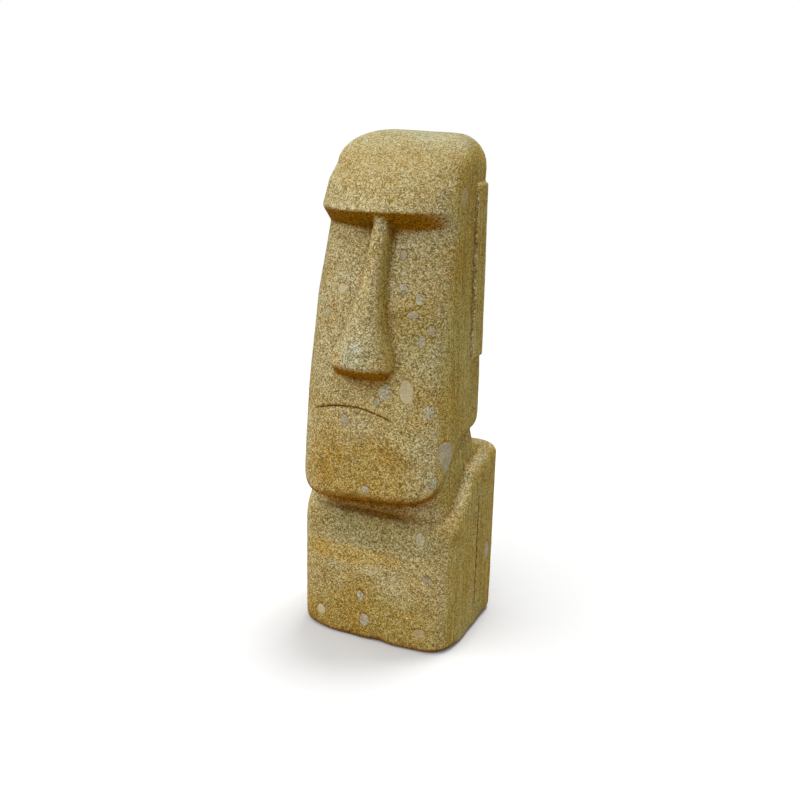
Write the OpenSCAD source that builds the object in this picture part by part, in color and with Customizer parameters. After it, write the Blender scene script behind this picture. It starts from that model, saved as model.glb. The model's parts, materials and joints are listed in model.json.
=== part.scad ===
// Stylised stone head on a short torso, cut from one block of tuff. The tuff holds pebbles of
// other rock, each sitting in its own socket and dressed flush with the carved surface.
// Millimetres. The figure faces -Y, +X is the viewer's right, +Z is up, and the origin lies on
// the flat resting face, under the middle of the head.

/* [Heights at the front] */
// Resting face to the top of the chest
torso_h = 272; // [200:1:350]
// Top of the chest to the underside of the chin
neck_h = 44; // [30:1:70]
// Underside of the chin to the mouth groove
chin_h = 176; // [130:1:230]
// Mouth groove to the lower edge of the brow
face_h = 374; // [330:1:470]
// Lower edge of the brow to the crown
forehead_h = 134; // [100:1:170]

/* [Torso] */
// Width of the torso
torso_w = 337; // [280:1:420]
// Depth of the torso
torso_d = 260; // [220:1:330]
// How far the torso sits towards +X of the origin
torso_lean = -3; // [-8:1:6]
// How far the shoulders rise from front to back
shoulder_rise = 108; // [0:1:140]
// How far the shoulder's rounding reaches in from the sides
shoulder_in = 24; // [8:1:30]
// How far the shoulder's rounding reaches down
shoulder_down = 50; // [20:1:70]
// Rounding of the bottom edge
base_round = 12; // [4:1:25]

/* [Neck] */
// Width of the neck
neck_w = 282; // [230:1:300]
// Origin to the front of the neck
throat_y = 114; // [90:1:125]

/* [Head] */
// Width across the jaw
jaw_w = 308; // [250:1:370]
// Width across the face just below the brow
temple_w = 272; // [230:1:340]
// Width across the brow
brow_w = 282; // [240:1:350]
// Origin to the front of the chin
chin_y = 166; // [140:1:200]
// Origin to the face just below the brow
eye_y = 108; // [85:1:125]
// Origin to the front of the brow
brow_y = 150; // [115:1:170]
// Origin to the back of the head
nape_y = 60; // [45:1:90]
// Origin to the line where the curved face meets the flat sides
cheek_line_y = 44; // [30:1:60]
// How far the jaw line rises from front to back
jaw_rise = 106; // [0:1:130]
// How much higher the jaw's edge is on the +X side than on the -X side
jaw_tilt = 26; // [0:1:40]
// Rounding of the jaw's lower edge
jaw_round = 26; // [10:1:45]
// Height of the rounding of the crown
crown_round = 60; // [40:1:80]
// How far the jaw sits towards +X of the torso's middle
jaw_lean = -8; // [-15:1:10]
// How much higher the brow is on the +X side than on the -X side
brow_tilt = 10; // [0:1:20]
// How far the brow sits towards +X of the torso's middle
brow_lean = 0; // [-10:1:15]

/* [Nose] */
// Width of the nose between the brows
nose_root_w = 38; // [24:1:60]
// Width across the nostrils
nose_wing_w = 132; // [90:1:150]
// Lower edge of the brow to the lowest point of the nose
nose_h = 304; // [240:1:320]
// Reach of the nose tip beyond the face
nose_reach = 50; // [30:1:70]
// How far the nostrils sit towards +X of the torso's middle
nose_low_x = -15; // [-20:1:10]
// How far the bridge sits towards +X of the torso's middle
nose_top_x = 13; // [-10:1:15]

/* [Mouth] */
// Length of the mouth groove, end to end
mouth_l = 176; // [120:1:210]
// How far the middle of the mouth sits towards -X
mouth_shift = 30; // [0:1:35]
// How much lower the ends of the mouth are than its middle
mouth_droop = 20; // [0:1:35]
// Width of the carved grooves
groove_w = 7; // [4:1:12]
// Depth of the carved grooves
groove_deep = 5; // [2:1:8]

/* [Ears] */
// Length of the ear
ear_h = 330; // [240:1:360]
// Width of the ear, from its front edge to the back of the head
ear_w = 58; // [40:1:80]
// How far the ear stands proud of the head
ear_proud = 6; // [3:1:12]

/* [Arms] */
// Length of the groove that parts the arm from the back
arm_l = 235; // [120:1:250]
// Origin to the arm groove, towards the back
arm_y = 22; // [0:1:60]

/* [Pebbles] */
// How deep a pebble goes into the stone, as a share of its width
pebble_deep = 0.6; // [0.4:0.05:0.9]

/* [Hidden] */

// Points round a section of the body, and sections along a mouth or arm groove
RING_POINTS = 64;
GROOVE_RINGS = 18;
ARM_RINGS = 6;
// Height of the arm groove's lower end, and the share of its length it has at the front
ARM_FOOT = 30;
ARM_SHARE = 0.5;
// Powers of the curves: 2 is an ellipse, 14 nearly a rectangle
SQUARE = 14;
BOXY = 5;
JAW = 3.5;
MOUTH = 2.9;
CHEEK = 2.5;
EYE = 2.2;
ROUND = 2.1;
// Share of a sloping station's depth over which it climbs
CLIMB_RUN = 0.66;
// Rounding of the shoulders at the back, as shares of that at the front
BACK_DOWN = 0.45;
BACK_IN = 0.6;
// Height over which the neck runs into the torso and into the jaw
NECK_RUN = 10;
JAW_RUN = 8;
// How far the jaw's lower edge is drawn in, at each side and at the front
JAW_IN = 9;
JAW_BACK = 14;
// How far the mouth lies behind the chin
LIP_BACK = 8;
// Height of the cheeks' section, as a share of the face
CHEEK_SHARE = 0.56;
// Depth of the hollow under the brow, and height of the brow's sharp edge
EYE_DROP = 30;
BROW_EDGE = 6;
// How far the hollow under the brow sits towards +X of the brow
EYE_LEAN = 5;
// Height of the forehead above the brow, and how far it and the crown's edge lie behind it
BROW_UP = 46;
FOREHEAD_BACK = 17;
CROWN_BACK = 33;
// How much the crown's front slopes where it starts
CROWN_LEAD = 0.4;
// Size of the flat top: width as a share of the brow's, reach to the front, share of the nape's
CROWN_SHARE = 0.45;
CROWN_Y = 10;
CROWN_NAPE = 0.4;
// Share of the brow's width that the top leans towards +X
CROWN_LEAN = 0.1;
// Power of the nose's section: 1 is an ellipse, less is blunter
NOSE_BLUNT = 0.8;
// How deep the nose's form runs into the face, at its edges and in its middle
NOSE_EDGE = 12;
NOSE_ROOT = 40;
// Width and height of the ear's slanted back edge, and how far it stays off the back of the head
EAR_SLANT = 12;
EAR_TAPER = 8;
EAR_BACK = 3;
// Depth from the middle plane at which the ear's form starts
EAR_ROOT = 100;
// How far a pebble's widest section lies under the skin, as a share of its depth
PEBBLE_SUNK = 0.2;
// Steps of the pebble's form in degrees: from end to end, and round it
PEBBLE_CAP = 75;
PEBBLE_STEP = 25;
PEBBLE_TURN = 30;
// Height kept above and below a pebble when it is cut from a slice of the body
SLICE_SPARE = 14;

z_chin = torso_h + neck_h;
z_mouth = z_chin + chin_h;
z_brow = z_mouth + face_h;
z_crown = z_brow + forehead_h;
z_nose = z_brow - nose_h;

// A station of the body: heights at front and back, half width, front, back and middle line,
// powers of the front and back curves (2 is an ellipse, 8 nearly a rectangle), lean and tilt.
function station(zf, zb, w, front, back, middle, pf, pb, lean, tilt) =
    [zf, zb, w / 2, -front, back, -middle, pf, pb, lean, tilt];

function signed_power(v, p) = sign(v) * pow(abs(v), 2 / p);

function climb(share) = 0.5 - 0.5 * cos(180 * min(1, share / CLIMB_RUN));

// Point of a station's outline: angle 0 at the front, 90 on the +X side.
function outline_point(s, angle) =
    let (
        ahead = cos(angle) > 0,
        across = signed_power(sin(angle), ahead ? s[6] : s[7]),
        deep = ahead
            ? s[5] + (s[3] - s[5]) * signed_power(cos(angle), s[6])
            : s[5] - (s[4] - s[5]) * signed_power(cos(angle), s[7]),
        share = (deep - s[3]) / (s[4] - s[3])
    )
    [s[8] + s[2] * across, deep, s[0] + (s[1] - s[0]) * climb(share) + s[9] * across / 2];

// Stations between two others. "wall" is straight, "under" turns from a flat underside into
// a wall, "over" turns from a wall into a flat top. "lead" makes the front slope from the start
// of an "over" part on: 0 starts upright, 1 is a straight line.
function between(a, b, steps, kind, lead = 0) = [
    for (i = [1:steps])
        let (
            t = i / steps,
            up = kind == "under" ? 1 - cos(90 * t) : kind == "over" ? sin(90 * t) : t,
            out = kind == "under" ? sin(90 * t) : kind == "over" ? 1 - cos(90 * t) : t
        )
        [for (k = [0:9]) a[k] + (b[k] - a[k]) * (k < 2 ? up : k == 3 ? out + (up - out) * lead : out)]
];

torso_half = torso_d / 2;
shoulder_back = torso_h + shoulder_rise;
neck_back = nape_y - JAW_BACK / 2;

base_low = station(0, 0, torso_w - 2 * base_round, torso_half - base_round, torso_half - base_round,
    0, BOXY, SQUARE, torso_lean, 0);
base_top = station(base_round, base_round, torso_w, torso_half, torso_half,
    0, BOXY, SQUARE, torso_lean, 0);
shoulder_low = station(torso_h - shoulder_down, shoulder_back - shoulder_down * BACK_DOWN,
    torso_w, torso_half, torso_half, 0, BOXY, SQUARE, torso_lean, 0);
shoulder_top = station(torso_h, shoulder_back, torso_w - 2 * shoulder_in,
    torso_half - shoulder_in, torso_half - shoulder_in * BACK_IN, 0, BOXY, SQUARE, torso_lean, 0);
neck_low = station(torso_h + NECK_RUN, shoulder_back + NECK_RUN, neck_w, throat_y, nape_y,
    cheek_line_y / 2, JAW, SQUARE, jaw_lean / 2, jaw_tilt / 3);
neck_top = station(z_chin - JAW_RUN, z_chin + jaw_rise - JAW_RUN, neck_w, throat_y, neck_back,
    cheek_line_y, JAW, SQUARE, jaw_lean, jaw_tilt);
jaw_edge = station(z_chin, z_chin + jaw_rise, jaw_w - 2 * JAW_IN, chin_y - JAW_BACK, neck_back,
    cheek_line_y, JAW, SQUARE, jaw_lean, jaw_tilt);
jaw_wall = station(z_chin + jaw_round, z_chin + jaw_rise + jaw_round, jaw_w, chin_y, nape_y,
    cheek_line_y, JAW, SQUARE, jaw_lean, jaw_tilt);
mouth = station(z_mouth, z_mouth + jaw_rise / 3, jaw_w, chin_y - LIP_BACK, nape_y,
    cheek_line_y, MOUTH, SQUARE, jaw_lean, 0);
cheek = station(z_mouth + face_h * CHEEK_SHARE, z_mouth + face_h * CHEEK_SHARE, (jaw_w + temple_w) / 2,
    (chin_y + eye_y) / 2, nape_y, cheek_line_y, CHEEK, SQUARE, (jaw_lean + brow_lean) / 2, 0);
eye = station(z_brow - EYE_DROP, z_brow - EYE_DROP, temple_w, eye_y, nape_y,
    cheek_line_y, EYE, SQUARE, brow_lean + EYE_LEAN, brow_tilt / 2);
brow_under = station(z_brow, z_brow, brow_w, brow_y - BROW_EDGE / 2, nape_y,
    cheek_line_y, ROUND, SQUARE, brow_lean, brow_tilt);
brow_front = station(z_brow + BROW_EDGE, z_brow + BROW_EDGE, brow_w, brow_y, nape_y,
    cheek_line_y, ROUND, SQUARE, brow_lean, brow_tilt);
forehead = station(z_brow + BROW_UP, z_brow + BROW_UP, brow_w * (1 - CROWN_LEAN / 3),
    brow_y - FOREHEAD_BACK, nape_y, cheek_line_y, ROUND, SQUARE, brow_lean + brow_w * CROWN_LEAN / 6, 0);
crown_edge = station(z_crown - crown_round, z_crown - crown_round, brow_w * (1 - CROWN_LEAN * 2 / 3),
    brow_y - CROWN_BACK, nape_y, cheek_line_y * 2 / 3, ROUND, SQUARE, brow_lean + brow_w * CROWN_LEAN / 3, 0);
crown = station(z_crown, z_crown, brow_w * CROWN_SHARE, CROWN_Y, nape_y * CROWN_NAPE,
    0, CHEEK, BOXY, brow_lean + brow_w * CROWN_LEAN, 0);

STATIONS = concat(
    [base_low],
    between(base_low, base_top, 3, "under"),
    between(base_top, shoulder_low, 5, "wall"),
    between(shoulder_low, shoulder_top, 5, "over"),
    between(shoulder_top, neck_low, 2, "wall"),
    between(neck_low, neck_top, 2, "wall"),
    between(neck_top, jaw_edge, 2, "wall"),
    between(jaw_edge, jaw_wall, 4, "under"),
    between(jaw_wall, mouth, 4, "wall"),
    between(mouth, cheek, 4, "wall"),
    between(cheek, eye, 4, "wall"),
    between(eye, brow_under, 3, "wall"),
    between(brow_under, brow_front, 2, "under"),
    between(brow_front, forehead, 2, "wall"),
    between(forehead, crown_edge, 2, "wall"),
    between(crown_edge, crown, 7, "over", CROWN_LEAD)
);

// Number of the last station whose front is no higher than h.
function below(h, i = 0) =
    i + 2 < len(STATIONS) && STATIONS[i + 1][0] <= h ? below(h, i + 1) : i;

function station_at(h) =
    let (i = below(h), a = STATIONS[i], b = STATIONS[i + 1], t = (h - a[0]) / (b[0] - a[0]))
    [for (k = [0:9]) a[k] + (b[k] - a[k]) * t];

function skin_point(h, angle) = outline_point(station_at(h), angle);

function unit(v) = v / norm(v);

// Outward direction of the skin.
function skin_out(h, angle) = unit(cross(
    skin_point(h, angle + 1) - skin_point(h, angle - 1),
    skin_point(h + 2, angle) - skin_point(h - 2, angle)
));

// Angle round the front at which the skin lies x off the middle plane.
function angle_across(h, x) =
    let (s = station_at(h), share = (x - s[8]) / s[2])
    asin(sign(share) * pow(abs(share), s[6] / 2));

// Stones seen from the front: name, height at the front, distance across from the middle plane,
// length, width, turn, colour. Those of the lip keep below the nose, whatever its length.
FRONT_PEBBLES = [
    ["cheek_pebble_cream", z_mouth + 52, 76, 46, 27, -4, "beige"],
    ["lip_pebble_pale", z_nose - 22, 35, 30, 25, 10, "lightgray"],
    ["lip_pebble_white", z_nose - 41, 21, 15, 14, 0, "white"],
    ["cheek_pebble_pale_upper", z_mouth + 240, 56, 22, 17, 0, "lightgray"],
    ["cheek_pebble_pale_middle", z_mouth + 225, 88, 21, 18, 20, "lightgray"],
    ["cheek_pebble_grey_wide", z_mouth + 195, 78, 22, 15, 80, "silver"],
    ["cheek_pebble_grey_small", z_mouth + 167, 110, 17, 15, 0, "silver"],
    ["cheek_pebble_grey_tall", z_mouth + 147, 96, 23, 13, 10, "darkgray"],
    ["cheek_pebble_pale_left", z_mouth + 228, -68, 21, 18, 0, "beige"],
    ["cheek_pebble_grey_left", z_mouth + 180, -98, 21, 14, 0, "darkgray"],
    ["cheek_pebble_pale_lower", z_mouth + 13, 115, 25, 22, 30, "lightgray"],
    ["bridge_pebble_grey", z_mouth + 300, 50, 20, 12, 0, "darkgray"],
    ["chin_pebble_grey_upper", z_mouth - 17, -46, 24, 16, -15, "slategray"],
    ["chin_pebble_grey_front", z_chin + 29, 5, 17, 16, 0, "darkgray"],
    ["chest_pebble_grey", torso_h - 27, 103, 26, 18, 0, "darkgray"],
    ["torso_pebble_grey_middle", torso_h * 0.6, 120, 17, 16, 0, "slategray"],
    ["torso_pebble_pale", torso_h * 0.36, -22, 21, 17, 0, "lightgray"],
    ["torso_pebble_grey_low", torso_h * 0.17, -12, 27, 23, 15, "darkgray"],
    ["torso_pebble_tan_low", torso_h * 0.16, 108, 28, 19, 85, "tan"],
    ["torso_pebble_cream_low", torso_h * 0.16, -113, 24, 20, 0, "beige"]
];

// Stones on the sides and the back: name, height at the front, angle round from the front
// (90 is +X), length, width, turn, colour.
SIDE_PEBBLES = [
    ["jaw_pebble_grey", z_chin + jaw_round + 28, 74, 64, 42, -8, "darkgray"],
    ["chin_pebble_pale_corner", z_chin + jaw_round + 2, 56, 26, 20, 20, "lightgray"],
    ["temple_pebble_tan", z_brow + 26, 84, 36, 20, 0, "sandybrown"],
    ["torso_pebble_grey_side", torso_h * 0.36, 92, 38, 24, 0, "darkgray"],
    ["side_pebble_cream", z_mouth + 110, -82, 34, 24, 10, "beige"],
    ["side_pebble_grey", torso_h * 0.5, -88, 40, 26, -20, "darkgray"],
    ["nape_pebble_grey", z_mouth + 210, 172, 36, 28, 30, "darkgray"],
    ["back_pebble_tan", torso_h * 0.45, -170, 44, 30, 60, "tan"]
];

PEBBLES = concat(
    [for (p = FRONT_PEBBLES) [p[0], p[1], angle_across(p[1], p[2]), p[3], p[4], p[5], p[6]]],
    SIDE_PEBBLES
);

function middle_of(ring) = [for (p = ring) 1] * ring / len(ring);

// Closed skin through a list of rings of equal length, each ring turning the same way. The ends
// are closed by triangles round the middle of the first and of the last ring.
module skin(rings) {
    count = len(rings[0]);
    last = len(rings) - 1;
    foot = len(rings) * count;
    polyhedron(
        points = concat([for (ring = rings) each ring], [middle_of(rings[0]), middle_of(rings[last])]),
        faces = concat(
            [for (j = [0:count - 1]) [foot, j, (j + 1) % count]],
            [
                for (i = [0:last - 1], j = [0:count - 1])
                    let (a = i * count + j, b = i * count + (j + 1) % count)
                    each [[a, a + count, b], [b, a + count, b + count]]
            ],
            [for (j = [0:count - 1]) [foot + 1, last * count + (j + 1) % count, last * count + j]]
        )
    );
}

// Part of the body between two stations, given by number.
module body_slice(first, last) {
    skin([
        for (i = [max(0, first):min(len(STATIONS) - 1, last)])
            [for (j = [0:RING_POINTS - 1]) outline_point(STATIONS[i], 360 * j / RING_POINTS)]
    ]);
}

// Head, neck and torso without nose, ears and grooves.
module body() {
    body_slice(0, len(STATIONS) - 1);
}

// Sections of the nose from the nostrils up: height as a share of its length, half width, reach.
NOSE_ROWS = [
    [0, nose_wing_w * 0.44, 2],
    [0.07, nose_wing_w * 0.5, nose_reach * 0.9],
    [0.11, nose_wing_w * 0.5, nose_reach],
    [0.2, nose_wing_w * 0.43, nose_reach * 0.98],
    [0.34, nose_wing_w * 0.31, nose_reach * 0.9],
    [0.6, nose_root_w * 0.62, nose_reach * 0.72],
    [0.93, nose_root_w * 0.5, nose_reach * 0.42],
    [1.02, nose_root_w * 0.5, -BROW_EDGE]
];

function nose_section(row) =
    let (
        z = z_brow - nose_h * (1 - row[0]),
        middle = nose_low_x + (nose_top_x - nose_low_x) * row[0],
        face = skin_point(z, 0)[1]
    )
    concat(
        [
            for (a = [-90:15:90])
                [
                    middle + row[1] * sin(a),
                    face + NOSE_EDGE - (row[2] + NOSE_EDGE) * pow(cos(a), NOSE_BLUNT),
                    z
                ]
        ],
        [[middle + row[1], face + NOSE_ROOT, z], [middle - row[1], face + NOSE_ROOT, z]]
    );

module nose() {
    skin([for (row = NOSE_ROWS) nose_section(row)]);
}

// V-shaped cutting tool along points of the skin, each [height, angle].
module groove(route) {
    places = [for (r = route) skin_point(r[0], r[1])];
    outs = [for (r = route) skin_out(r[0], r[1])];
    last = len(route) - 1;
    skin([
        for (i = [0:last])
            let (
                along = unit(places[min(i + 1, last)] - places[max(i - 1, 0)]),
                side = cross(outs[i], along) * groove_w / 2
            )
            [places[i] + side + outs[i], places[i] - side + outs[i], places[i] - outs[i] * groove_deep]
    ]);
}

module mouth_groove() {
    groove([
        for (i = [0:GROOVE_RINGS])
            let (
                share = 2 * i / GROOVE_RINGS - 1,
                h = z_mouth + mouth_droop / 2 - mouth_droop * share * share,
                x = share * mouth_l / 2 - mouth_shift
            )
            [h, angle_across(h, x)]
    ]);
}

// Groove down one side of the torso; side is 1 for +X and -1 for -X.
module arm_groove(side) {
    angle = 90 + asin(pow(arm_y / torso_half, SQUARE / 2));
    groove([for (i = [0:ARM_RINGS]) [ARM_FOOT + arm_l * ARM_SHARE * i / ARM_RINGS, side * angle]]);
}

// Raised strip at the back of one side of the head; side is 1 for +X and -1 for -X.
module ear(side) {
    top = z_brow + BROW_UP;
    low = top - ear_h;
    front = nape_y - EAR_BACK - ear_w;
    hull() {
        translate([side > 0 ? EAR_ROOT : -EAR_ROOT - 1, front, low])
            cube([1, ear_w, ear_h]);
        for (z = [low, top - EAR_TAPER])
            let (s = station_at(z), face = s[2] + side * s[8] + ear_proud)
            translate([side > 0 ? face - 1 : -face, front, z])
                cube([1, ear_w - EAR_SLANT, EAR_TAPER]);
    }
}

module raw_block() {
    difference() {
        union() {
            body();
            nose();
            ear(1);
            ear(-1);
        }
        mouth_groove();
        arm_groove(1);
        arm_groove(-1);
    }
}

// A whole pebble, lens-like, with its widest section just under the skin.
module pebble_form(p) {
    deep = p[4] * pebble_deep;
    out = skin_out(p[1], p[2]);
    place = skin_point(p[1], p[2]) - out * deep * PEBBLE_SUNK;
    up_raw = unit(skin_point(p[1] + 2, p[2]) - skin_point(p[1] - 2, p[2]));
    right_raw = cross(up_raw, out);
    up = up_raw * cos(p[5]) + right_raw * sin(p[5]);
    left = cross(out, up);
    skin([
        for (lat = [-PEBBLE_CAP:PEBBLE_STEP:PEBBLE_CAP])
            [
                for (lon = [0:PEBBLE_TURN:359])
                    place + up * (p[3] / 2 * cos(lat) * cos(lon))
                        + left * (p[4] / 2 * cos(lat) * sin(lon))
                        + out * (deep * sin(lat))
            ]
    ]);
}

module carved_block() {
    color("darkkhaki")
        difference() {
            raw_block();
            for (p = PEBBLES) pebble_form(p);
        }
}

// A pebble is the part of its form inside the body, so it ends flush with the skin.
module pebble(p) {
    reach = p[3] / 2 + SLICE_SPARE;
    color(p[6])
        intersection() {
            body_slice(below(p[1] - reach), below(p[1] + reach) + 2);
            pebble_form(p);
        }
}

carved_block();
for (p = PEBBLES) pebble(p);
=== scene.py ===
"""Stylised stone head on a short torso, carved from one block of lapilli tuff.

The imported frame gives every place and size. The block is roughed out from a merged copy of its CAD solid,
dressed with the marks of the tools and of the weather, and cut for the stones that the tuff holds. Each stone
is its own piece, ground flush with the dressed surface. Metres; the figure faces -Y and stands on z = 0.
"""

import json
import logging
import math
from dataclasses import dataclass, field
from enum import Enum
from typing import Union

import bpy
import numpy as np
from mathutils import Matrix, Vector
from mathutils.bvhtree import BVHTree


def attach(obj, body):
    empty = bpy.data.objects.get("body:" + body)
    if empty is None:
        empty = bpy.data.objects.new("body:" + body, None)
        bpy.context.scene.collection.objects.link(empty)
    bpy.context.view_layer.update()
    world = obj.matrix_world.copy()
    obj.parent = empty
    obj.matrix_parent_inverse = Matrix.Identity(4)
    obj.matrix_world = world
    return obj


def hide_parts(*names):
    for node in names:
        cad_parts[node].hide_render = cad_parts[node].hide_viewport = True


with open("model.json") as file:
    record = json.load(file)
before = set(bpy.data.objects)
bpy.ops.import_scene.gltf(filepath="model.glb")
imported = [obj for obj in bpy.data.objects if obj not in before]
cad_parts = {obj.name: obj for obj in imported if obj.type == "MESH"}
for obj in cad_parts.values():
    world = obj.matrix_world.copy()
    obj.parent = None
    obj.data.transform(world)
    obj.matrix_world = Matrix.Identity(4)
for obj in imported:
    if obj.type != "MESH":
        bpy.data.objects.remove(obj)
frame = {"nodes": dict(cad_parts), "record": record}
log = logging.getLogger("tuff_head")

MM = 0.001
WELD = 0.01 * MM  # vertices nearer than this are one
GRAZING = 0.02  # sky directions flatter to the surface than this do not count
STONE_CREASE = math.radians(50)
BLOCK_CREASE = math.radians(48)
Colour = tuple[float, float, float]
Value = Union[bpy.types.NodeSocket, float]
Tone = Union[bpy.types.NodeSocket, Colour]
BODY = "root"
BLOCK_NODE = "carved_block"


# ---------------------------------------------------------------- bench tools


def deselect_all() -> None:
    """Leaves nothing selected and nothing active."""
    if bpy.context.object and bpy.context.object.mode != "OBJECT":
        bpy.ops.object.mode_set(mode="OBJECT")
    bpy.ops.object.select_all(action="DESELECT")
    bpy.context.view_layer.objects.active = None


def take(piece: bpy.types.Object) -> bpy.types.Object:
    """Selects one piece alone and makes it active.

    Args:
        piece: The piece to work on.

    Returns:
        The same piece.
    """
    deselect_all()
    piece.select_set(True)
    bpy.context.view_layer.objects.active = piece
    return piece


def apply(piece: bpy.types.Object, modifier: bpy.types.Modifier) -> None:
    """Applies one modifier of a piece.

    Args:
        piece: The piece that carries the modifier.
        modifier: The modifier to apply.
    """
    take(piece)
    bpy.ops.object.modifier_apply(modifier=modifier.name)


def merged_copy(node: str, name: str) -> bpy.types.Object:
    """Copies a CAD node's mesh into a new object and merges its loose triangles.

    Args:
        node: Name of the CAD node.
        name: Name of the new piece.

    Returns:
        The new piece, at the origin.
    """
    piece = bpy.data.objects.new(name, frame["nodes"][node].data.copy())
    piece.data.materials.clear()
    bpy.context.scene.collection.objects.link(piece)
    take(piece)
    bpy.ops.object.mode_set(mode="EDIT")
    bpy.ops.mesh.select_all(action="SELECT")
    bpy.ops.mesh.remove_doubles(threshold=WELD)
    bpy.ops.object.mode_set(mode="OBJECT")
    return piece


def duplicate(piece: bpy.types.Object, name: str) -> bpy.types.Object:
    """Copies a piece with its own mesh."""
    copy = bpy.data.objects.new(name, piece.data.copy())
    bpy.context.scene.collection.objects.link(copy)
    return copy


def join(pieces: list[bpy.types.Object], name: str) -> bpy.types.Object:
    """Joins pieces into the first of them.

    Args:
        pieces: The pieces to join.
        name: Name of the result.

    Returns:
        The joined piece.
    """
    take(pieces[0])
    for piece in pieces:
        piece.select_set(True)
    bpy.ops.object.join()
    pieces[0].name = name
    return pieces[0]


def discard(piece: bpy.types.Object) -> None:
    """Removes a helper piece."""
    bpy.data.objects.remove(piece)


def cut(piece: bpy.types.Object, tool: bpy.types.Object, operation: str) -> None:
    """Cuts a piece with a closed tool.

    Args:
        piece: The piece to cut.
        tool: The closed mesh to cut it with.
        operation: DIFFERENCE or INTERSECT.
    """
    boolean = piece.modifiers.new("cut", "BOOLEAN")
    boolean.operation = operation
    boolean.solver = "MANIFOLD"
    boolean.object = tool
    apply(piece, boolean)


def rub(piece: bpy.types.Object) -> None:
    """Rubs the sharpest edges of a piece down a little."""
    smooth = piece.modifiers.new("rub", "SMOOTH")
    smooth.factor = 0.5
    smooth.iterations = 2
    apply(piece, smooth)


def points_of(piece: bpy.types.Object) -> np.ndarray:
    """Vertex places of a piece, one row each."""
    flat = np.zeros(len(piece.data.vertices) * 3)
    piece.data.vertices.foreach_get("co", flat)
    return flat.reshape(-1, 3)


def normals_of(piece: bpy.types.Object) -> np.ndarray:
    """Vertex normals of a piece, one row each."""
    flat = np.zeros(len(piece.data.vertices) * 3)
    piece.data.vertices.foreach_get("normal", flat)
    return flat.reshape(-1, 3)


def ramp_up(values: np.ndarray, low: float, high: float) -> np.ndarray:
    """Smooth step from 0 at low to 1 at high."""
    share = np.clip((values - low) / (high - low), 0, 1)
    return share * share * (3 - 2 * share)


def paint_weights(piece: bpy.types.Object, name: str, weights: np.ndarray, levels: int = 20) -> None:
    """Stores weights from 0 to 1 as a vertex group.

    Args:
        piece: The piece that gets the group.
        name: Name of the group.
        weights: One weight for each vertex.
        levels: How many different weights are kept.
    """
    group = piece.vertex_groups.new(name=name)
    steps = np.rint(weights * levels).astype(int)
    for step in range(levels + 1):
        members = np.nonzero(steps == step)[0].tolist()
        if members:
            group.add(members, step / levels, "REPLACE")


def sky_directions(count: int) -> list[Vector]:
    """Directions spread evenly over the upper half of the sky."""
    turn = math.pi * (3 - math.sqrt(5))
    heights = [(i + 0.5) / count for i in range(count)]
    return [
        Vector((math.sqrt(1 - h * h) * math.cos(i * turn), math.sqrt(1 - h * h) * math.sin(i * turn), h))
        for i, h in enumerate(heights)
    ]


def store_sky(
    piece: bpy.types.Object, reach: float = 0.35, rays: int = 20, rounds: int = 3, lift: float = 2.5 * MM
) -> None:
    """Stores on each vertex how much open sky it sees: about 0.5 on an open wall, 1 on top, 0 under a ledge.

    Args:
        piece: The piece to measure.
        reach: How far away a part of the piece can shelter a point.
        rays: Number of directions tried.
        rounds: Rounds of evening out between neighbours.
        lift: How far off the surface each ray starts.
    """
    mesh = piece.data
    tree = BVHTree.FromPolygons([v.co for v in mesh.vertices], [tuple(p.vertices) for p in mesh.polygons])
    directions = sky_directions(rays)
    wall = sum(max(0.0, d.x) for d in directions)
    seen = np.zeros(len(mesh.vertices))
    for index, vertex in enumerate(mesh.vertices):
        normal = vertex.normal
        start = vertex.co + normal * lift
        total = 0.0
        for direction in directions:
            share = normal.dot(direction)
            if share > GRAZING and tree.ray_cast(start, direction, reach)[0] is None:
                total += share
        seen[index] = total
    seen /= 2 * wall
    store_values(piece, "sky", evened(piece, seen, rounds))


def evened(piece: bpy.types.Object, values: np.ndarray, rounds: int) -> np.ndarray:
    """Values of the vertices, evened out between neighbours.

    Args:
        piece: The piece whose edges join the neighbours.
        values: One row for each vertex.
        rounds: How often they are evened out.

    Returns:
        The evened values.
    """
    ends = np.zeros(len(piece.data.edges) * 2, int)
    piece.data.edges.foreach_get("vertices", ends)
    ends = ends.reshape(-1, 2)
    count = np.bincount(ends.ravel(), minlength=len(values)) + 1
    if values.ndim > 1:
        return np.column_stack([evened(piece, column, rounds) for column in values.T])
    for _ in range(rounds):
        sums = values + np.bincount(ends[:, 0], values[ends[:, 1]], len(values))
        sums += np.bincount(ends[:, 1], values[ends[:, 0]], len(values))
        values = sums / count
    return values


def store_values(piece: bpy.types.Object, name: str, values: np.ndarray) -> None:
    """Stores one number on each vertex for the materials to read."""
    attribute = piece.data.attributes.new(name, "FLOAT", "POINT")
    attribute.data.foreach_set("value", values)


def store_hollow(piece: bpy.types.Object, rounds: int = 14, calm: int = 3) -> None:
    """Stores on each vertex how far it lies below its surroundings, in millimetres; less than 0 on an edge.

    Args:
        piece: The piece to measure.
        rounds: How wide the surroundings are.
        calm: Rounds of evening out the depths themselves.
    """
    points, normals = points_of(piece), normals_of(piece)
    depth = ((evened(piece, points, rounds) - points) * normals).sum(1) / MM
    store_values(piece, "hollow", evened(piece, depth, calm))


# ------------------------------------------------------------- surface marks


class Grain(Enum):
    """Kinds of relief texture."""

    SWELL = "CLOUDS"
    PITS = "VORONOI"


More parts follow.
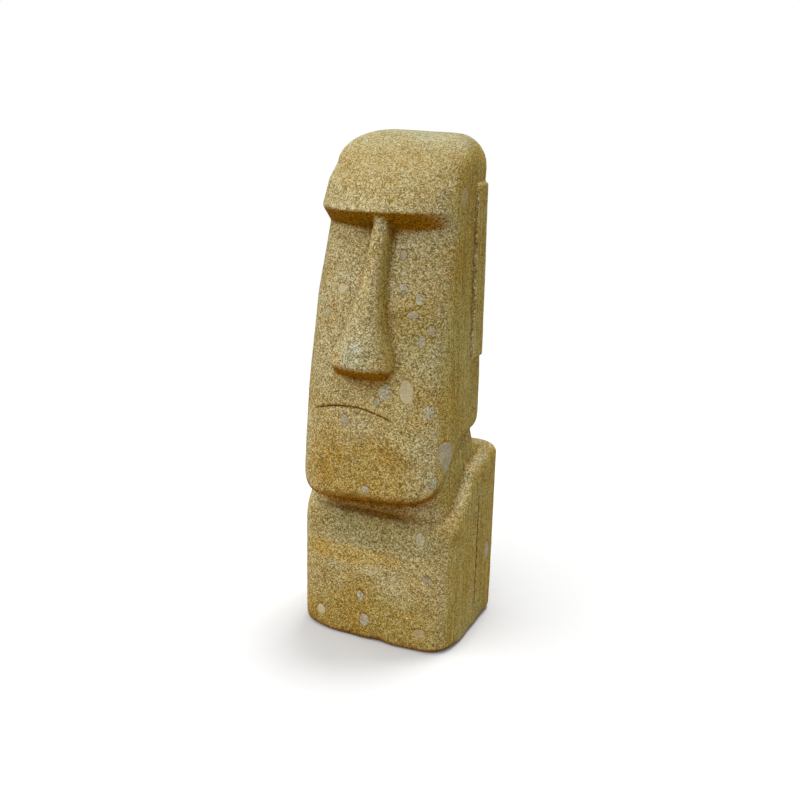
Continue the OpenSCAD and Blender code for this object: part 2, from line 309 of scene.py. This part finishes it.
@dataclass(frozen=True)
class Mark:
    """One layer of relief: its kind, the size of its features, its height in metres and its zone."""

    name: str
    grain: Grain
    size: float
    height: float
    zone: str = ""
    reach: float = 0.0

    def press(self, piece: bpy.types.Object) -> None:
        """Moves the surface of a piece by this relief.

        Args:
            piece: The piece to mark.
        """
        texture = bpy.data.textures.new(self.name, self.grain.value)
        texture.noise_scale = self.size
        middle = 0.5
        if self.grain is Grain.SWELL:
            texture.noise_depth = 2
            texture.noise_basis = "ORIGINAL_PERLIN"
        else:
            texture.use_color_ramp = True
            ramp = texture.color_ramp
            ramp.elements[0].position = 0.0
            ramp.elements[0].color = (1, 1, 1, 1)
            ramp.elements[1].position = self.reach
            ramp.elements[1].color = (0, 0, 0, 1)
            middle = 0.0
        displace = piece.modifiers.new(self.name, "DISPLACE")
        displace.texture = texture
        displace.texture_coords = "LOCAL"
        displace.strength = self.height
        displace.mid_level = middle
        if self.zone:
            displace.vertex_group = self.zone
        apply(piece, displace)


# ---------------------------------------------------------------- materials


class Shader:
    """A short way to add and link the nodes of one material."""

    def __init__(self, name: str, roughness: float, specular: float) -> None:
        """Starts a material with one Principled shader.

        Args:
            name: Name of the material.
            roughness: Roughness all over the surface.
            specular: Specular level all over the surface.
        """
        self.material = bpy.data.materials.new(name)
        self.material.use_nodes = True
        self.tree = self.material.node_tree
        self.base = self.tree.nodes["Principled BSDF"]
        self.base.inputs["Roughness"].default_value = roughness
        self.base.inputs["Specular IOR Level"].default_value = specular
        self.place = self.add("ShaderNodeTexCoord").outputs["Object"]

    def add(self, kind: str, links: dict | None = None, **settings) -> bpy.types.Node:
        """Adds a node.

        Args:
            kind: The node's type.
            links: For each input, by name or number, an output to link or a value to set.
            **settings: Properties of the node.

        Returns:
            The new node.
        """
        node = self.tree.nodes.new(kind)
        for key, value in settings.items():
            setattr(node, key, value)
        for key, value in (links or {}).items():
            if isinstance(value, bpy.types.NodeSocket):
                self.tree.links.new(value, node.inputs[key])
            else:
                node.inputs[key].default_value = value
        return node

    def math(self, operation: str, first: Value, second: Value = 0.0) -> bpy.types.NodeSocket:
        """Result of one sum on two values or outputs."""
        return self.add("ShaderNodeMath", {0: first, 1: second}, operation=operation).outputs[0]

    def noise(
        self, scale: float, detail: float = 2.0, place: bpy.types.NodeSocket | None = None
    ) -> bpy.types.NodeSocket:
        """Noise value at a scale in features per metre."""
        links = {"Vector": place or self.place, "Scale": scale, "Detail": detail, "Roughness": 0.55}
        return self.add("ShaderNodeTexNoise", links).outputs["Fac"]

    def cells(self, scale: float, place: bpy.types.NodeSocket | None = None) -> bpy.types.Node:
        """Cell pattern at a scale in cells per metre."""
        return self.add("ShaderNodeTexVoronoi", {"Vector": place or self.place, "Scale": scale})

    def stretch(self, scale: tuple[float, float, float]) -> bpy.types.NodeSocket:
        """The place, stretched along the axes."""
        return self.add("ShaderNodeMapping", {"Vector": self.place, "Scale": scale}).outputs[0]

    def shift(self, amount: float, scale: float) -> bpy.types.NodeSocket:
        """The place, moved about by noise, which makes round cells ragged."""
        wander = self.add("ShaderNodeTexNoise", {"Vector": self.place, "Scale": scale, "Detail": 2.0})
        links = {0: wander.outputs["Color"], 1: (0.5, 0.5, 0.5)}
        middle = self.add("ShaderNodeVectorMath", links, operation="SUBTRACT")
        scaled = self.add("ShaderNodeVectorMath", {0: middle.outputs[0]}, operation="SCALE")
        scaled.inputs["Scale"].default_value = amount
        return self.add("ShaderNodeVectorMath", {0: self.place, 1: scaled.outputs[0]}, operation="ADD").outputs[0]

    def step(self, value: Value, low: float, high: float, top: float = 1.0) -> bpy.types.NodeSocket:
        """Smooth step of a value, from 0 at low to the top at high."""
        links = {"Value": value, "From Min": low, "From Max": high, "To Min": 0.0, "To Max": top}
        return self.add("ShaderNodeMapRange", links, interpolation_type="SMOOTHSTEP").outputs[0]

    def ramp(self, value: Value, stops: list[tuple[float, Colour]]) -> bpy.types.NodeSocket:
        """Colour of a value by a list of stops."""
        node = self.add("ShaderNodeValToRGB", {"Fac": value})
        elements = node.color_ramp.elements
        while len(elements) < len(stops):
            elements.new(0.5)
        for element, (position, colour) in zip(elements, stops):
            element.position = position
            element.color = (*colour, 1.0)
        return node.outputs["Color"]

    def mix(self, share: Value, first: Tone, second: Tone, blend: str = "MIX") -> bpy.types.NodeSocket:
        """Mix of two colours."""
        first = first if isinstance(first, bpy.types.NodeSocket) else (*first, 1.0)
        second = second if isinstance(second, bpy.types.NodeSocket) else (*second, 1.0)
        node = self.add("ShaderNodeMix", {0: share, 6: first, 7: second}, data_type="RGBA", blend_type=blend)
        return node.outputs[2]

    def tinted(self, share: Value, colour: bpy.types.NodeSocket, tint: Tone) -> bpy.types.NodeSocket:
        """A colour, multiplied by a tint where the share says so."""
        return self.mix(share, colour, self.mix(1.0, colour, tint, "MULTIPLY"))

    def bump(self, height: Value, distance: float, strength: float = 1.0) -> None:
        """Adds bump to the shader on top of any bump it has."""
        links = {"Height": height, "Distance": distance, "Strength": strength}
        old = self.base.inputs["Normal"]
        if old.is_linked:
            links["Normal"] = old.links[0].from_socket
        node = self.add("ShaderNodeBump", links)
        self.tree.links.new(node.outputs[0], old)

    def colour(self, socket: bpy.types.NodeSocket) -> None:
        """Links the shader's colour."""
        self.tree.links.new(socket, self.base.inputs["Base Color"])


@dataclass(frozen=True)
class TintPatch:
    """A soft patch of the block where its colour is tinted: middle, reach each way and tint. Most are stains of the
    stone; one is painted shade in the hollow of the eye and one a painted highlight on the tip of the nose.
    """

    middle: tuple[float, float, float]
    reach: tuple[float, float, float]
    tint: Colour
    strength: float = 1.0

    def mask(self, s: Shader, edge: bpy.types.NodeSocket) -> bpy.types.NodeSocket:
        """Share of the tinted patch at each place, with a broken edge.

        Args:
            s: The shader that gets the tint.
            edge: Noise that breaks the edge.

        Returns:
            The share.
        """
        off = s.add("ShaderNodeVectorMath", {0: s.place, 1: self.middle}, operation="SUBTRACT").outputs[0]
        scaled = s.add("ShaderNodeVectorMath", {0: off, 1: self.reach}, operation="DIVIDE").outputs[0]
        far = s.add("ShaderNodeVectorMath", {0: scaled}, operation="LENGTH").outputs["Value"]
        ragged = s.math("ADD", far, s.math("MULTIPLY", edge, 0.7))
        return s.step(ragged, 1.65, 0.85, self.strength)


# chin, foot, chest under the chin, ochre band on the chest, painted shade in the hollow of the eye, cheek
TINT_PATCHES = (
    TintPatch((0.000, -0.175, 0.376), (0.135, 0.110, 0.080), (0.86, 0.73, 0.41)),
    TintPatch((0.000, -0.130, 0.030), (0.230, 0.120, 0.110), (0.84, 0.71, 0.36)),
    TintPatch((0.020, -0.140, 0.245), (0.210, 0.080, 0.045), (0.72, 0.71, 0.60)),
    TintPatch((-0.060, -0.130, 0.185), (0.120, 0.040, 0.026), (1.02, 0.88, 0.54)),
    # painted shade: the hollow of the eye under the brow, darkened
    TintPatch((0.085, -0.125, 0.660), (0.050, 0.060, 0.070), (0.88, 0.86, 0.68)),
    TintPatch((0.060, -0.130, 0.520), (0.090, 0.070, 0.110), (0.98, 0.93, 0.76)),
)
# painted highlight: the tip of the nose, lighter and greyer
NOSE_TIP_HIGHLIGHT = TintPatch((-0.006, -0.190, 0.610), (0.030, 0.034, 0.036), (0.98, 1.14, 1.52), 0.9)


@dataclass(frozen=True)
class TuffFinish:
    """Open-grained lapilli tuff: a tan matrix crowded with dark, tan and cream grains."""

    name: str = "lapilli_tuff"
    grain: float = 520.0
    grit: float = 210.0
    lapilli: float = 110.0
    dark: Colour = (0.110, 0.079, 0.025)
    olive: Colour = (0.200, 0.152, 0.056)
    tan: Colour = (0.328, 0.265, 0.124)
    pale: Colour = (0.452, 0.390, 0.222)
    cream: Colour = (0.600, 0.545, 0.385)
    flank_finish_and_shade_tint: Colour = (0.92, 0.90, 0.60)
    ledge_shade_tint: Colour = (0.53, 0.28, 0.004)
    hollow_shade_tint: Colour = (0.82, 0.74, 0.62)
    edge_highlight_tint: Colour = (1.12, 1.12, 1.12)
    bleach_tint: Colour = (0.84, 0.95, 1.20)
    ochre_tint: Colour = (0.95, 0.84, 0.60)
    ash_tint: Colour = (1.02, 1.04, 1.04)
    rust_tint: Colour = (1.14, 0.94, 0.74)
    lichen_tint: Colour = (0.88, 1.02, 1.22)
    crystal: Colour = (0.62, 0.57, 0.42)

    def make(self) -> bpy.types.Material:
        """Builds the material.

        Returns:
            The material.
        """
        s = Shader(self.name, roughness=0.95, specular=0.04)
        fine = s.cells(self.grain, s.shift(0.0025, 330.0))
        grains = s.add("ShaderNodeSeparateColor", {0: fine.outputs["Color"]})
        coarse = s.add("ShaderNodeSeparateColor", {0: s.cells(self.grit, s.shift(0.004, 150.0)).outputs["Color"]})
        normal = s.add("ShaderNodeSeparateXYZ", {0: s.add("ShaderNodeNewGeometry").outputs["Normal"]})
        flank = s.step(s.math("ABSOLUTE", normal.outputs[0]), 0.70, 0.95)
        sky = s.add("ShaderNodeAttribute", attribute_name="sky").outputs["Fac"]
        hollow = s.add("ShaderNodeAttribute", attribute_name="hollow").outputs["Fac"]
        # grains, with less contrast on the rubbed flanks
        calm = s.math("MAXIMUM", s.math("MULTIPLY", flank, 0.25), s.step(sky, 0.50, 0.80, 0.40))
        tone = s.math("MULTIPLY", grains.outputs[0], 0.70)
        tone = s.math("ADD", tone, s.math("MULTIPLY", coarse.outputs[0], 0.16))
        tone = s.math("ADD", tone, s.math("MULTIPLY", s.noise(26.0, 3.0), 0.14))
        tone = s.math("ADD", s.math("MULTIPLY", tone, s.math("SUBTRACT", 1.0, calm)), s.math("MULTIPLY", calm, 0.5))
        tones = [(0.10, self.dark), (0.32, self.olive), (0.52, self.tan), (0.74, self.pale), (0.92, self.cream)]
        colour = s.ramp(tone, tones)
        casts = s.ramp(grains.outputs[1], [(0.0, self.rust_tint), (0.5, (1.0, 1.0, 1.0)), (1.0, self.lichen_tint)])
        colour = s.mix(0.8, colour, casts, "MULTIPLY")
        # broad drifts of ochre and ash, then the block's own stains and the painted shade in the hollow of the eye
        patch = s.noise(9.0, 4.0)
        colour = s.mix(1.0, colour, s.ramp(patch, [(0.36, self.ochre_tint), (0.62, self.ash_tint)]), "MULTIPLY")
        for tint_patch in TINT_PATCHES:
            colour = s.tinted(tint_patch.mask(s, patch), colour, tint_patch.tint)
        # combed flanks: tool streaks, and a tint that is partly the olive of the combed face and partly painted
        # shade
        comb = s.noise(1.0, 3.0, s.stretch((55.0, 190.0, 4.5)))
        streak = s.ramp(comb, [(0.34, (0.84, 0.78, 0.60)), (0.66, (1.12, 1.14, 1.20))])
        flanked = s.mix(1.0, s.mix(1.0, colour, self.flank_finish_and_shade_tint, "MULTIPLY"), streak, "MULTIPLY")
        colour = s.mix(flank, colour, flanked)
        # small stones too small to be pieces of their own
        small = s.cells(self.lapilli, s.shift(0.009, 80.0))
        pick = s.add("ShaderNodeSeparateColor", {0: small.outputs["Color"]})
        core = s.step(small.outputs["Distance"], 0.50, 0.20)
        rare = s.step(pick.outputs[0], 0.93, 0.95)
        rocks = [(0.0, (0.22, 0.185, 0.11)), (0.5, (0.33, 0.28, 0.16)), (1.0, (0.42, 0.36, 0.23))]
        stone = s.ramp(pick.outputs[1], rocks)
        spare = s.math("SUBTRACT", 0.6, s.math("MULTIPLY", flank, 0.4))
        colour = s.mix(s.math("MULTIPLY", s.math("MULTIPLY", core, rare), spare), colour, stone)
        # bright crystals, and open pores darkened as painted shade
        open_face = s.math("SUBTRACT", 1.0, s.math("MULTIPLY", flank, 0.7))
        bright = s.math("MULTIPLY", s.step(grains.outputs[2], 0.95, 0.99), open_face)
        colour = s.mix(s.math("MULTIPLY", bright, 0.5), colour, self.crystal)
        hole = s.math("MULTIPLY", s.step(grains.outputs[2], 0.07, 0.03), open_face)
        pore = s.cells(230.0, s.shift(0.004, 200.0))
        deep = s.math("MULTIPLY", s.step(pore.outputs["Distance"], 0.30, 0.12),
                      s.step(s.noise(38.0, 2.0), 0.52, 0.64))
        deep = s.math("MAXIMUM", hole, deep)
        # painted shade in the pores
        colour = s.mix(s.math("MULTIPLY", deep, 0.65), colour, self.dark)
        # painted highlight on the tip of the nose, bleached tops, painted shade in the hollows, lighter edges as a
        # painted highlight, and painted shade under the ledges
        colour = s.tinted(NOSE_TIP_HIGHLIGHT.mask(s, patch), colour, NOSE_TIP_HIGHLIGHT.tint)
        colour = s.tinted(s.step(sky, 0.62, 0.95), colour, self.bleach_tint)
        # painted shade in the hollows and creases
        colour = s.tinted(s.step(hollow, 0.25, 1.6), colour, self.hollow_shade_tint)
        # painted highlight along the raised edges
        colour = s.tinted(s.step(hollow, -0.25, -1.6), colour, self.edge_highlight_tint)
        # painted shade under the ledges: brow, nose, chin and neck
        colour = s.tinted(s.step(sky, 0.46, 0.16), colour, self.ledge_shade_tint)
        s.colour(colour)
        s.bump(fine.outputs["Distance"], 0.9 * MM, 0.5)
        s.bump(s.noise(620.0, 3.0), 1.0 * MM, 0.5)
        s.bump(s.math("SUBTRACT", 1.0, deep), 1.6 * MM, 0.8)
        s.bump(s.math("MULTIPLY", comb, flank), 1.8 * MM, 0.8)
        return s.material


@dataclass(frozen=True)
class StoneFinish:
    """Dense, fine-grained stone, ground flush."""

    name: str
    light: Colour
    dark: Colour
    speckle: float = 0.25
    outline: float = 0.30

    def make(self) -> bpy.types.Material:
        """Builds the material.

        Returns:
            The material.
        """
        s = Shader(self.name, roughness=0.82, specular=0.25)
        cloud = s.noise(90.0, 4.0)
        colour = s.ramp(cloud, [(0.32, self.dark), (0.68, self.light)])
        grit = s.cells(430.0, s.shift(0.003, 260.0))
        pick = s.add("ShaderNodeSeparateColor", {0: grit.outputs["Color"]}).outputs[0]
        grains = s.ramp(pick, [(0.1, (0.45, 0.40, 0.30)), (0.5, (0.95, 0.95, 0.95)), (0.9, (1.5, 1.5, 1.5))])
        colour = s.mix(self.speckle, colour, s.mix(1.0, colour, grains, "MULTIPLY"))
        s.colour(colour)
        s.bump(s.noise(480.0, 3.0), 0.5 * MM, 0.5)
        return s.material


STONE_FINISHES = {
    "pebble_cream": StoneFinish("cream_stone", (0.410, 0.350, 0.200), (0.340, 0.280, 0.147), 0.20, 0.25),
    "pebble_pale": StoneFinish("pale_stone", (0.350, 0.315, 0.205), (0.250, 0.210, 0.120), 0.90, 0.65),
    "pebble_grey": StoneFinish("grey_stone", (0.325, 0.285, 0.180), (0.255, 0.215, 0.125), 0.50, 0.50),
    "pebble_slate": StoneFinish("slate_stone", (0.285, 0.245, 0.155), (0.215, 0.178, 0.105), 0.65, 0.65),
    "pebble_tan": StoneFinish("tan_stone", (0.350, 0.262, 0.120), (0.270, 0.195, 0.080), 0.40, 0.35),
}


# -------------------------------------------------------------------- stones


@dataclass
class SetStone:
    """One stone held by the tuff, shaped from its CAD solid's place and size."""

    node: str
    slot: str
    sunk: float = 0.2
    buried: float = 0.966
    gap: float = 0.35 * MM
    form: bpy.types.Object = field(init=False, default=None)

    def shape(self) -> None:
        """Makes the whole stone: a sphere drawn out to the solid's three axes and made uneven."""
        points = points_of(frame["nodes"][self.node])
        middle = points.mean(0)
        _, axes = np.linalg.eigh(np.cov((points - middle).T))
        out, short, long = axes[:, 0], axes[:, 1], axes[:, 2]
        if np.dot(out[:2], middle[:2]) < 0:
            out = -out
        long = np.cross(out, short)
        low = [(points @ axis).min() for axis in (short, long, out)]
        high = [(points @ axis).max() for axis in (short, long, out)]
        deep = (high[2] - low[2]) / (self.sunk + self.buried)
        centre = short * (low[0] + high[0]) / 2 + long * (low[1] + high[1]) / 2
        centre = centre + out * (low[2] + self.buried * deep)
        halves = ((high[0] - low[0]) / 2, (high[1] - low[1]) / 2, deep)
        deselect_all()
        bpy.ops.mesh.primitive_ico_sphere_add(subdivisions=4, radius=1.0)
        self.form = bpy.context.object
        self.form.name = self.node + "_form"
        turn = Matrix([short, long, out]).transposed().to_4x4()
        self.form.matrix_world = Matrix.Translation(Vector(centre)) @ turn @ Matrix.Diagonal((*halves, 1.0))
        take(self.form)
        bpy.ops.object.transform_apply(location=True, rotation=True, scale=True)
        width = 2 * halves[0]
        uneven = width * STONE_FINISHES[self.slot].outline
        Mark("stone_outline", Grain.SWELL, width * 0.5, uneven).press(self.form)

    def cutter(self) -> bpy.types.Object:
        """A copy of the whole stone, grown by the gap, that cuts its socket."""
        tool = duplicate(self.form, self.node + "_cutter")
        grow = tool.modifiers.new("grow", "DISPLACE")
        grow.strength = self.gap
        grow.mid_level = 0.0
        apply(tool, grow)
        return tool

    def grind(self, block: bpy.types.Object, material: bpy.types.Material) -> bpy.types.Object:
        """Grinds the stone flush with the dressed block and dresses it.

        Args:
            block: The dressed block, not yet cut for the stones.
            material: The stone's material.

        Returns:
            The finished stone.
        """
        cut(self.form, block, "INTERSECT")
        rub(self.form)
        self.form.name = self.node + "_stone"
        bpy.ops.object.shade_smooth_by_angle(angle=STONE_CREASE)
        self.form.data.materials.clear()
        self.form.data.materials.append(material)
        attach(self.form, BODY)
        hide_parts(self.node)
        return self.form


# --------------------------------------------------------------------- block


@dataclass(frozen=True)
class Score:
    """A thin line cut by a chisel: points across or up the surface, its width and its depth."""

    name: str
    points: tuple[tuple[float, float, float], ...]
    aim: tuple[float, float, float]
    width: float
    depth: float
    proud: float = 6 * MM

    def blade(self, block: bpy.types.Object) -> bpy.types.Object:
        """Makes the closed blade that cuts the line, laid on the block's surface.

        Args:
            block: The block to lay it on.

        Returns:
            The blade.
        """
        aim = Vector(self.aim)
        count = len(self.points)
        deselect_all()
        bpy.ops.mesh.primitive_grid_add(x_subdivisions=count - 1, y_subdivisions=1, size=1.0)
        blade = bpy.context.object
        blade.name = self.name
        corners = [vertex.co.copy() for vertex in blade.data.vertices]
        order = sorted(range(len(corners)), key=lambda i: (round(corners[i].x, 4), corners[i].y))
        for step, start in enumerate(self.points):
            hit, place, _, _ = block.ray_cast(Vector(start) - aim, aim)
            if not hit:
                raise ValueError(f"{self.name}: the chisel misses the block at {start}")
            share = abs(2 * step / (count - 1) - 1)
            bite = self.depth * (1 - share ** 4)
            blade.data.vertices[order[2 * step]].co = place - aim * self.proud
            blade.data.vertices[order[2 * step + 1]].co = place + aim * bite
        wall = blade.modifiers.new("wall", "SOLIDIFY")
        wall.thickness = self.width
        wall.offset = 0.0
        apply(blade, wall)
        bpy.ops.object.mode_set(mode="EDIT")
        bpy.ops.mesh.select_all(action="SELECT")
        bpy.ops.mesh.quads_convert_to_tris()
        bpy.ops.mesh.normals_make_consistent(inside=False)
        bpy.ops.object.mode_set(mode="OBJECT")
        return blade


def mouth_score(
    z: float, length: float, shift: float, droop: float, width: float, depth: float, steps: int = 28
) -> Score:
    """The line of the mouth: an arc whose ends hang, seen from the front.

    Args:
        z: Height of the mouth.
        length: Length, end to end.
        shift: How far its middle sits towards -X.
        droop: How much lower its ends are than its middle.
        width: Width of the line.
        depth: Depth of the line.
        steps: Number of points.

    Returns:
        The score.
    """
    shares = [2 * i / (steps - 1) - 1 for i in range(steps)]
    points = tuple((s * length / 2 - shift, 0.0, z + droop / 2 - droop * s * s) for s in shares)
    return Score("mouth_score", points, (0.0, 1.0, 0.0), width, depth)


def upright_score(
    name: str, side: int, y: float, low: float, high: float, width: float, wander: float = 1.2 * MM, steps: int = 24
) -> Score:
    """An upright line down one side of the figure.

    Args:
        name: Name of the blade.
        side: 1 for +X and -1 for -X.
        y: Place from front to back.
        low: Lower end.
        high: Upper end.
        width: Width and depth of the line.
        wander: How far the line strays to either side.
        steps: Number of points.

    Returns:
        The score.
    """
    turn = 1.7
    points = tuple(
        (0.0, y + wander * math.sin(i * turn), low + (high - low) * i / (steps - 1)) for i in range(steps)
    )
    return Score(name, points, (-float(side), 0.0, 0.0), width, width)


@dataclass
class CarvedBlock:
    """The block of tuff: roughed out from its CAD solid, dressed, weathered and cut."""

    voxel: float = 2.6 * MM
    face_budget: int = 166_000
    foot_height: float = 40 * MM
    foot_bite: float = 1.5
    lip_step: float = 3.0 * MM
    lip_fade: float = 0.022
    marks: tuple[Mark, ...] = (
        Mark("hand_swell", Grain.SWELL, 0.110, 1.2 * MM),
        Mark("chisel_dents", Grain.SWELL, 0.028, 1.3 * MM),
        Mark("broken_grain", Grain.SWELL, 0.005, 1.0 * MM, "open_grain"),
        Mark("pores", Grain.PITS, 0.012, -2.2 * MM, "open_grain", reach=0.20),
    )
    piece: bpy.types.Object = field(init=False, default=None)

    def rough_out(self, stones: list[SetStone]) -> None:
        """Joins the block and its stones into one skin and gives it an even mesh.

        Args:
            stones: The stones that fill the CAD solid's sockets.
        """
        parts = [merged_copy(BLOCK_NODE, "tuff_block")]
        parts += [merged_copy(stone.node, stone.node + "_blank") for stone in stones]
        self.piece = join(parts, "tuff_block")
        remesh = self.piece.modifiers.new("even_mesh", "REMESH")
        remesh.mode = "VOXEL"
        remesh.voxel_size = self.voxel
        apply(self.piece, remesh)
        rub(self.piece)

    def mark_zones(self) -> None:
        """Weights for the open-grained faces and for the resting face, which stays flat."""
        normals = normals_of(self.piece)
        points = points_of(self.piece)
        clear = ramp_up(points[:, 2], 1 * MM, 12 * MM)
        flank = ramp_up(np.abs(normals[:, 0]), 0.6, 0.9)
        paint_weights(self.piece, "open_grain", (1 - 0.7 * flank) * clear)

    def dress(self) -> None:
        """Presses every mark into the surface and thins the mesh to its budget."""
        floor_points = points_of(self.piece)
        for mark in self.marks:
            mark.press(self.piece)
        points = points_of(self.piece)
        keep = ramp_up(floor_points[:, 2], 0.0, 10 * MM)[:, None]
        points = floor_points + (points - floor_points) * keep
        points[:, 2] = np.maximum(points[:, 2], 0.0)
        self.piece.data.vertices.foreach_set("co", points.ravel())
        self.piece.data.update()
        triangles = sum(len(p.vertices) - 2 for p in self.piece.data.polygons)
        thin = self.piece.modifiers.new("thin", "DECIMATE")
        thin.ratio = min(1.0, self.face_budget / triangles)
        apply(self.piece, thin)
        log.info("block thinned from %d to %d triangles", triangles, len(self.piece.data.polygons))

    def wear(self, line: Score) -> None:
        """Wears the foot of the block unevenly and lets the lower lip fall back behind the mouth's line.

        Args:
            line: The line of the mouth.
        """
        points = points_of(self.piece)
        round_angle = np.arctan2(points[:, 0], -points[:, 1])
        foot = (1 - ramp_up(points[:, 2], 0.0, self.foot_height)) ** 2
        bite = self.foot_bite + self.foot_bite * np.sin(7 * round_angle + 1.0)
        bite = bite + self.foot_bite * np.sin(13 * round_angle)
        off_axis = np.linalg.norm(points[:, :2], axis=1).clip(0.02)
        points[:, :2] *= 1 - (foot * np.maximum(bite, 0) * MM / off_axis)[:, None]
        across = np.array([p[0] for p in line.points])
        height = np.interp(points[:, 0], across, [p[2] for p in line.points])
        below = height - points[:, 2]
        ends = [across[0], across[0] + 0.02, across[-1] - 0.03, across[-1]]
        share = np.interp(points[:, 0], ends, [0, 1, 1, 0])
        lip = share * np.exp(-np.maximum(below, 0) / self.lip_fade) * (below > 0) * (points[:, 1] < 0)
        points[:, 1] += self.lip_step * lip
        self.piece.data.vertices.foreach_set("co", points.ravel())
        self.piece.data.update()

    def score(self, scores: list[Score]) -> None:
        """Cuts the thin lines.

        Args:
            scores: The lines to cut.
        """
        for line in scores:
            blade = line.blade(self.piece)
            cut(self.piece, blade, "DIFFERENCE")
            discard(blade)

    def cut_sockets(self, cutters: list[bpy.types.Object]) -> None:
        """Cuts a socket for every stone.

        Args:
            cutters: The stones' cutters.
        """
        tool = join(cutters, "socket_cutters")
        cut(self.piece, tool, "DIFFERENCE")
        discard(tool)

    def finish(self, material: bpy.types.Material) -> None:
        """Shades the block, gives it its material and seats it on the body.

        Args:
            material: The tuff.
        """
        take(self.piece)
        bpy.ops.object.shade_smooth_by_angle(angle=BLOCK_CREASE)
        store_sky(self.piece)
        store_hollow(self.piece)
        self.piece.vertex_groups.clear()
        self.piece.data.materials.clear()
        self.piece.data.materials.append(material)
        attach(self.piece, BODY)
        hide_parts(BLOCK_NODE)


# -------------------------------------------------------------------- studio


@dataclass(frozen=True)
class Lamp:
    """A broad lamp: degrees round from the front and above the floor, power per area and the angle it fills."""

    name: str
    azimuth: float
    elevation: float
    strength: float
    softness: float


@dataclass(frozen=True)
class Studio:
    """Plain pale floor, soft light and the camera."""

    azimuth: float = 25.0
    elevation: float = 18.0
    roll: float = 1.3
    distance: float = 2.125
    target: tuple[float, float, float] = (0.024, -0.060, 0.498)
    lens: float = 49.5
    sky: float = 0.62
    floor_albedo: float = 0.555
    floor_radius: float = 1.6
    lamps: tuple[Lamp, ...] = (Lamp("key", -34.0, 50.0, 2.8, 75.0), Lamp("overhead", 160.0, 79.0, 2.4, 16.0))

    def lay_floor(self) -> None:
        """Lays the floor under the figure."""
        deselect_all()
        bpy.ops.mesh.primitive_circle_add(vertices=96, radius=self.floor_radius, fill_type="NGON")
        floor = bpy.context.object
        floor.name = "studio_floor"
        s = Shader("studio_floor", roughness=0.9, specular=0.1)
        s.base.inputs["Base Color"].default_value = (self.floor_albedo,) * 3 + (1.0,)
        floor.data.materials.append(s.material)

    def hang_lights(self) -> None:
        """Sets the soft sky and two broad lamps."""
        world = bpy.data.worlds.new("studio_sky")
        bpy.context.scene.world = world
        world.use_nodes = True
        nodes, links = world.node_tree.nodes, world.node_tree.links
        lit = nodes["Background"]
        lit.inputs["Strength"].default_value = self.sky
        lit.inputs["Color"].default_value = (1.0, 1.0, 1.0, 1.0)
        seen = nodes.new("ShaderNodeBackground")
        seen.inputs["Color"].default_value = (1.0, 1.0, 1.0, 1.0)
        ray = nodes.new("ShaderNodeLightPath")
        blend = nodes.new("ShaderNodeMixShader")
        links.new(ray.outputs["Is Camera Ray"], blend.inputs[0])
        links.new(lit.outputs[0], blend.inputs[1])
        links.new(seen.outputs[0], blend.inputs[2])
        links.new(blend.outputs[0], nodes["World Output"].inputs["Surface"])
        for lamp in self.lamps:
            light = bpy.data.lights.new(lamp.name, "SUN")
            light.energy = lamp.strength
            light.angle = math.radians(lamp.softness)
            holder = bpy.data.objects.new(lamp.name, light)
            bpy.context.scene.collection.objects.link(holder)
            holder.matrix_world = self.aim(lamp.azimuth, lamp.elevation, 0.0).to_4x4()

    @staticmethod
    def aim(azimuth: float, elevation: float, roll: float) -> Matrix:
        """Rotation of a camera or lamp that looks at the figure from a direction.

        Args:
            azimuth: Degrees round from the front, positive towards +X.
            elevation: Degrees above the floor.
            roll: Degrees that the view is turned.

        Returns:
            The rotation, its columns right, up and back.
        """
        a, e, r = math.radians(azimuth), math.radians(elevation), math.radians(roll)
        back = Vector((math.sin(a) * math.cos(e), -math.cos(a) * math.cos(e), math.sin(e)))
        right = Vector((math.cos(a), math.sin(a), 0.0))
        up = back.cross(right)
        right, up = right * math.cos(r) + up * math.sin(r), up * math.cos(r) - right * math.sin(r)
        return Matrix((right, up, back)).transposed()

    def place_camera(self) -> None:
        """Places the camera at the viewing angle."""
        camera = bpy.data.objects.new("camera", bpy.data.cameras.new("camera"))
        bpy.context.scene.collection.objects.link(camera)
        camera.data.lens = self.lens
        camera.data.sensor_width = 36.0
        turn = self.aim(self.azimuth, self.elevation, self.roll)
        back = turn.col[2]
        camera.matrix_world = Matrix.Translation(Vector(self.target) + back * self.distance) @ turn.to_4x4()
        bpy.context.scene.camera = camera
        bpy.context.scene.view_settings.view_transform = "Standard"


def main() -> None:
    """Builds the studio, the block and its stones."""
    logging.basicConfig(level=logging.INFO, format="%(name)s: %(message)s")
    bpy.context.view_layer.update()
    studio = Studio()
    studio.lay_floor()
    studio.hang_lights()
    studio.place_camera()
    slots = {row["node"]: row["material_slot"] for row in frame["record"]["subparts"]}
    stones = [SetStone(node, slot) for node, slot in slots.items() if node != BLOCK_NODE]
    block = CarvedBlock()
    block.rough_out(stones)
    block.mark_zones()
    mouth = mouth_score(z=0.492, length=0.176, shift=0.030, droop=0.020, width=1.7 * MM, depth=5 * MM)
    block.wear(mouth)
    block.dress()
    for stone in stones:
        stone.shape()
    sockets = [stone.cutter() for stone in stones]
    finishes = {slot: finish.make() for slot, finish in STONE_FINISHES.items()}
    for stone in stones:
        piece = stone.grind(block.piece, finishes[stone.slot])
        log.info("%s: %d faces", piece.name, len(piece.data.polygons))
    block.cut_sockets(sockets)
    scores = [mouth]
    for name, side in (("right", 1), ("left", -1)):
        scores.append(upright_score("arm_score_" + name, side, y=0.022, low=0.036, high=0.300, width=7 * MM))
        scores.append(upright_score("ear_score_" + name, side, y=-0.003, low=0.590, high=0.900, width=2.6 * MM))
    block.score(scores)
    block.finish(TuffFinish().make())
    log.info("%s: %d faces", block.piece.name, len(block.piece.data.polygons))


if __name__ == "__main__":
    main()
